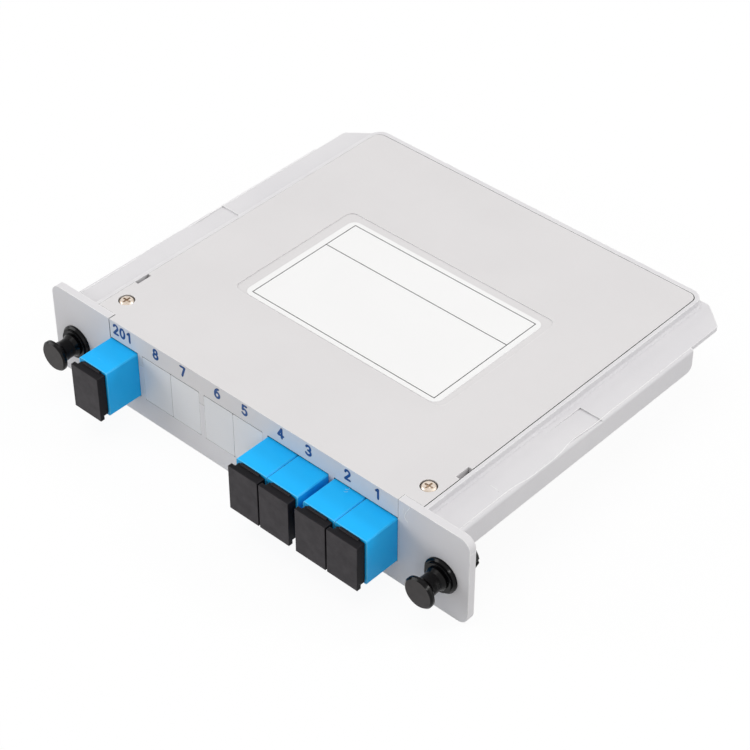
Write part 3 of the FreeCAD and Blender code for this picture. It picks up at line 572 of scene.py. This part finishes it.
# The insides of the ports: a white insert with a split ceramic sleeve in each adapter, and a blue
# connector behind it with a ceramic ferrule, its frame and a soft stepped boot.
insert_white = moulded_plastic("insert white", colour=(0.78, 0.78, 0.75), shade=(0.74, 0.74, 0.71),
                               roughness=0.4, grain=1500.0, depth=0.006 * mm, edge=0.08 * mm)
zirconia = moulded_plastic("zirconia", colour=(0.83, 0.82, 0.78), shade=(0.80, 0.79, 0.75),
                           roughness=0.16, grain=900.0, depth=0.001 * mm, edge=0.05 * mm, gloss=0.8)
connector_blue = moulded_plastic("connector blue", colour=(0.02, 0.28, 0.70), shade=(0.02, 0.25, 0.66),
                                 roughness=0.36, grain=1500.0, depth=0.006 * mm, edge=0.12 * mm)
boot_rubber = moulded_plastic("boot rubber", colour=(0.02, 0.20, 0.55), shade=(0.02, 0.18, 0.50),
                              roughness=0.62, grain=1200.0, depth=0.01 * mm, edge=0.1 * mm)
for name in port_names:
    coat(insert_white, "adapter_insert_" + name)
    coat(zirconia, "alignment_sleeve_" + name, "ferrule_" + name)
    coat(connector_blue, "connector_shell_" + name, "connector_frame_" + name)
    coat(boot_rubber, "connector_boot_" + name)


# The splitter and its fibres: a small steel case with a black rubber boot in each end, clipped to the
# floor, and five white jacketed fibres laid round the box in wide bends.
case_steel = plated_metal("case steel", colour=(0.58, 0.58, 0.60), stain=(0.50, 0.50, 0.53), roughness=0.34)
coat(case_steel, "splitter_module")
end_rubber = moulded_plastic("end rubber", colour=(0.02, 0.02, 0.02), shade=(0.03, 0.03, 0.03),
                             roughness=0.65, grain=1000.0, depth=0.01 * mm, edge=0.1 * mm)
coat(end_rubber, "splitter_boot_in", "splitter_boot_out")
fibre_jacket = moulded_plastic("fibre jacket", colour=(0.80, 0.79, 0.74), shade=(0.76, 0.75, 0.70),
                               roughness=0.45, grain=1500.0, depth=0.002 * mm, edge=0.05 * mm)
coat(fibre_jacket, *["fibre_" + name for name in port_names])


# The studio: a wide pale floor that the cassette rests on by its panel's foot and the rear edge of its
# box, and a white room round it. Soft lamps stand above, behind, at the right and at the front left,
# with a small one for the highlights on the latches. The camera is at the photograph's angle.
plain_white = (1.0, 1.0, 1.0, 1.0)


def seen_directly(tree):
    """1 for rays that show the background itself, and 0 for those that light the cassette."""
    path = tree.nodes.new("ShaderNodeLightPath")
    seen = worked(tree, "MAXIMUM", path.outputs["Is Camera Ray"], path.outputs["Is Glossy Ray"])
    return worked(tree, "MAXIMUM", seen, path.outputs["Is Transmission Ray"])


floor_size = 6.0
box_lift = 4.0 * mm
foot_y = 1.0 * mm
rear_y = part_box("base_housing")[1].y
floor_tilt = math.atan2(box_lift, rear_y - foot_y)
bpy.ops.mesh.primitive_plane_add(size=floor_size, location=(0.0, foot_y, 0.0),
                                 rotation=(floor_tilt, 0.0, 0.0))
floor = bpy.context.object
floor.name = "studio floor"
floor_paint = bpy.data.materials.new("studio floor")
floor_paint.use_nodes = True
tree = floor_paint.node_tree
tree.nodes.remove(tree.nodes["Principled BSDF"])
seen = seen_directly(tree)
# The paint is darker for the light that it throws back on the cassette than for the camera.
floor_shade = 0.58
floor_shade_seen = 1.0
floor_glow = 0.93
matt = tree.nodes.new("ShaderNodeBsdfDiffuse")
tree.links.new(worked(tree, "MULTIPLY_ADD", seen, floor_shade_seen - floor_shade, floor_shade),
               matt.inputs["Color"])
glow = tree.nodes.new("ShaderNodeEmission")
glow.inputs["Color"].default_value = plain_white
glow.inputs["Strength"].default_value = 1.0
both = tree.nodes.new("ShaderNodeMixShader")
tree.links.new(worked(tree, "MULTIPLY", seen, floor_glow), both.inputs["Fac"])
tree.links.new(matt.outputs["BSDF"], both.inputs[1])
tree.links.new(glow.outputs["Emission"], both.inputs[2])
tree.links.new(both.outputs["Shader"], tree.nodes["Material Output"].inputs["Surface"])
floor.data.materials.append(floor_paint)

world = bpy.data.worlds.new("white room")
scene.world = world
world.use_nodes = True
tree = world.node_tree
room_light = tree.nodes["Background"]
room_light.inputs["Color"].default_value = plain_white
room_light.inputs["Strength"].default_value = 0.41
room_wall = tree.nodes.new("ShaderNodeBackground")
room_wall.inputs["Color"].default_value = plain_white
either = tree.nodes.new("ShaderNodeMixShader")
tree.links.new(seen_directly(tree), either.inputs["Fac"])
tree.links.new(room_light.outputs["Background"], either.inputs[1])
tree.links.new(room_wall.outputs["Background"], either.inputs[2])
tree.links.new(either.outputs["Shader"], tree.nodes["World Output"].inputs["Surface"])

cassette_middle = Vector((0.0, 0.045, 0.012))
warm_light = (1.0, 0.99, 0.98)
neutral_light = (1.0, 1.0, 1.0)


def soft_lamp(name, place, size, watts, colour):
    """A square softbox that points at the cassette."""
    light = bpy.data.lights.new(name, "AREA")
    light.shape = "SQUARE"
    light.size = size
    light.energy = watts
    light.color = colour
    lamp = bpy.data.objects.new(name, light)
    lamp.location = place
    lamp.rotation_euler = (cassette_middle - Vector(place)).to_track_quat("-Z", "Y").to_euler()
    scene.collection.objects.link(lamp)


soft_lamp("overhead softbox", (-0.1, 0.0, 1.0), size=0.9, watts=4.15, colour=warm_light)
soft_lamp("rear right softbox", (0.62, 0.67, 0.67), size=0.25, watts=2.9, colour=warm_light)
soft_lamp("right softbox", (1.0, 0.25, 0.35), size=0.7, watts=1.3, colour=neutral_light)
soft_lamp("front left softbox", (-0.85, -0.6, 0.35), size=0.6, watts=4.1, colour=neutral_light)
soft_lamp("small front lamp", (0.45, -0.80, 0.36), size=0.09, watts=0.5, colour=neutral_light)

camera_data = bpy.data.cameras.new("photo camera")
camera_data.sensor_width = 36.0
camera_data.lens = 106.69
camera_data.shift_x = -0.0015
camera_data.shift_y = -0.0034
camera = bpy.data.objects.new("photo camera", camera_data)
camera_turn = math.radians(42.436)
camera_drop = math.radians(40.069)
camera_roll = math.radians(0.05)
camera.location = (271.05 * mm, -255.11 * mm, 345.27 * mm)
ahead = Vector((-math.sin(camera_turn) * math.cos(camera_drop), math.cos(camera_turn) * math.cos(camera_drop),
                -math.sin(camera_drop)))
camera.rotation_euler = ahead.to_track_quat("-Z", "Y").to_euler()
camera.rotation_euler.rotate_axis("Z", camera_roll)
scene.collection.objects.link(camera)
scene.camera = camera
scene.view_settings.view_transform = "Standard"
